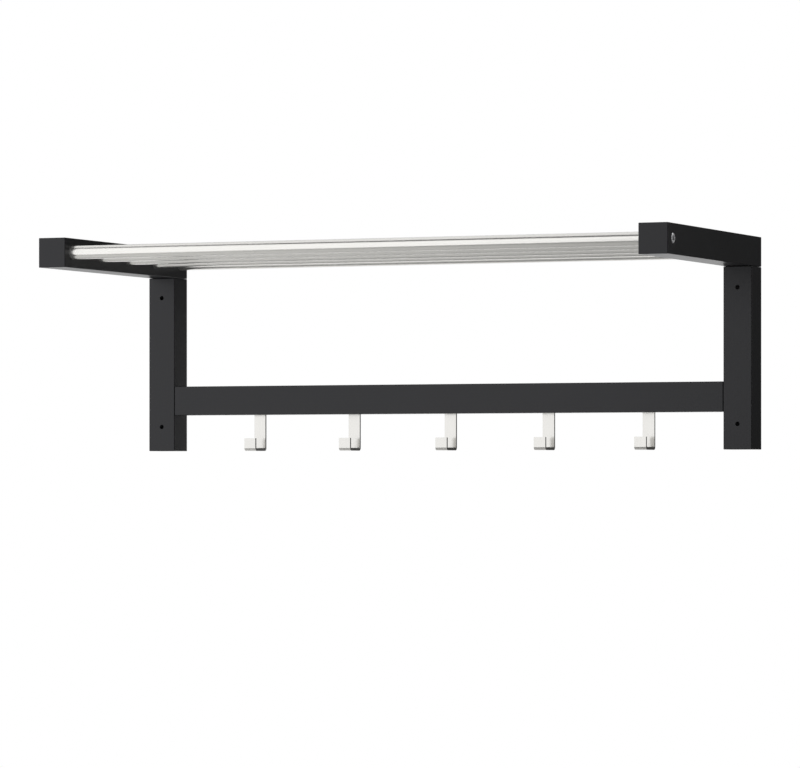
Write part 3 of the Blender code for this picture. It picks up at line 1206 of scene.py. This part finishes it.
@dataclass
class HiddenFittings:
    """The CAD nodes that stay as they are, inside the joints and the front tube."""

    steel: bpy.types.Material

    def dress(self) -> None:
        """Give the inserts and the dowels their finishes."""
        upright = PlainBeech("beech_upright", Grain.UPRIGHT).material()
        lying = PlainBeech("beech_lying", Grain.ALONG_RACK).material()
        for name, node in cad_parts.items():
            finish = self.steel if name.endswith("_insert") else None
            if "_dowel_" in name:
                finish = upright if "_arm_" in name else lying
            if finish is not None:
                node.data.materials.clear()
                node.data.materials.append(finish)
                LOG.info("%s: dressed in %s", name, finish.name)


@dataclass(frozen=True)
class Softbox:
    """A rectangular soft light that faces a point of the rack."""

    name: str
    azimuth: float
    elevation: float
    distance: float
    width: float
    height: float
    radiance: float

    def build(self, target: Vector) -> None:
        """Hang the light.

        Args:
            target: The point that it faces.
        """
        light = bpy.data.lights.new(self.name, "AREA")
        light.shape = "RECTANGLE"
        light.size, light.size_y = self.width, self.height
        light.energy = self.radiance * math.pi * self.width * self.height
        turn, rise = math.radians(self.azimuth), math.radians(self.elevation)
        away = Vector((math.sin(turn) * math.cos(rise), -math.cos(turn) * math.cos(rise), math.sin(rise)))
        lamp = link(bpy.data.objects.new(self.name, light))
        lamp.location = target + away * self.distance
        lamp.rotation_euler = away.to_track_quat("Z", "Y").to_euler()
        lamp.visible_camera = False


@dataclass
class Studio:
    """Soft light, a pale floor far below and a white surround."""

    floor_drop: float = 1.6
    floor_radius: float = 12.0
    floor_colour: Colour = (0.74, 0.74, 0.73)
    floor_paleness: float = 0.66
    mottle_scale: float = 3.0
    mottle_lift: float = 1.03
    mottle_relief: float = 0.0002
    mottle_roughness: tuple[float, float] = (0.8, 0.9)
    surround: float = 0.06

    def light(self) -> None:
        """Hang the softboxes round the rack."""
        target = Block(*CAD_BOX).middle
        for softbox in (
            Softbox("front_left_softbox", -38, 9, 1.5, 2.0, 2.2, 1.06),
            Softbox("front_middle_softbox", 13, 9, 1.5, 0.85, 2.2, 0.50),
            Softbox("overhead_softbox", -130, 62, 2.4, 2.8, 3.0, 0.82),
            Softbox("back_left_softbox", -156, -22, 1.6, 1.3, 1.5, 0.76),
            Softbox("back_middle_softbox", 175, -20, 1.6, 0.36, 1.5, 0.42),
            Softbox("back_right_softbox", 138, 40, 2.3, 1.6, 1.3, 0.62),
            Softbox("right_fill_softbox", 116, 18, 1.5, 0.6, 1.1, 1.30),
        ):
            softbox.build(target)
        Softbox("floor_wash", 0, 90, 0.9, 2.2, 3.0, 0.84).build(Vector((-2.0, -0.9, -self.floor_drop)))

    def world(self) -> None:
        """Make the surround white to look at, and dim as a source of light."""
        world = bpy.data.worlds.new("white_surround")
        bpy.context.scene.world = world
        world.use_nodes = True
        graph = Graph(world.node_tree)
        world.node_tree.nodes.clear()
        seen = graph.add("ShaderNodeBackground", {"Color": (1, 1, 1, 1), "Strength": 1.0})
        lit = graph.add("ShaderNodeBackground", {"Color": (1, 1, 1, 1), "Strength": self.surround})
        ray = graph.add("ShaderNodeLightPath").outputs["Is Camera Ray"]
        mix = graph.add("ShaderNodeMixShader", {0: ray, 1: lit.outputs[0], 2: seen.outputs[0]})
        graph.add("ShaderNodeOutputWorld", {0: mix.outputs[0]})

    def floor(self) -> None:
        """Lay the round floor, which the lamps reach only in part and which looks pale all over."""
        shape = bmesh.new()
        bmesh.ops.create_circle(shape, cap_ends=True, segments=96, radius=self.floor_radius)
        mesh = bpy.data.meshes.new("studio_floor")
        shape.to_mesh(mesh)
        shape.free()
        mesh.transform(Matrix.Translation((0, 0, -self.floor_drop)))
        graph = ShaderGraph("pale_floor")
        mottle = graph.noise(graph.place(), self.mottle_scale, 3.0)
        pale = tuple(self.mottle_lift * part for part in self.floor_colour)
        colour = graph.blend(mottle, self.floor_colour, pale)
        seen = graph.add("ShaderNodeLightPath").outputs["Is Camera Ray"]
        glow = graph.math("MULTIPLY", seen, self.floor_paleness)
        graph.tree.links.new(glow, graph.shader.inputs["Emission Strength"])
        roughness = graph.remap(mottle, (0, 1), self.mottle_roughness)
        graph.finish(colour, roughness, mottle, self.mottle_relief, emission_color=(1, 1, 1, 1))
        mesh.materials.append(graph.material)
        link(bpy.data.objects.new("studio_floor", mesh))

    def build(self) -> None:
        """Set up the studio."""
        self.world()
        self.light()
        self.floor()
        bpy.context.scene.view_settings.view_transform = "Standard"
        LOG.info("studio: white surround, softboxes and floor")


@dataclass(frozen=True)
class Viewpoint:
    """A level camera to the right of the rack and a little below its legs' feet."""

    location: Point = (1.98075, -4.65512, -0.03274)
    turn: float = 0.4077
    lens: float = 187.50
    shift: tuple[float, float] = (-0.0375, 0.1168)

    def build(self) -> None:
        """Place the camera and make it the scene's."""
        camera = bpy.data.cameras.new("camera")
        camera.sensor_width = 36.0
        camera.lens = self.lens
        camera.shift_x, camera.shift_y = self.shift
        holder = link(bpy.data.objects.new("camera", camera))
        holder.location = self.location
        holder.rotation_euler = Euler((math.pi / 2, 0, self.turn))
        bpy.context.scene.camera = holder
        LOG.info("camera at %s", self.location)


def main() -> None:
    """Build the rack's pieces, the studio and the camera in order."""
    logging.basicConfig(level=logging.INFO, format="%(name)s: %(message)s")
    steel = PlatedSteel("plated_bolt_steel").material()
    for side in Side:
        Bracket(side).build()
        TieBolt(side, steel).build()
    HookRail().build()
    TubeShelf().build()
    CoatHooks().build()
    HookScrews().build()
    HiddenFittings(steel).dress()
    Studio().build()
    Viewpoint().build()


if __name__ == "__main__":
    main()
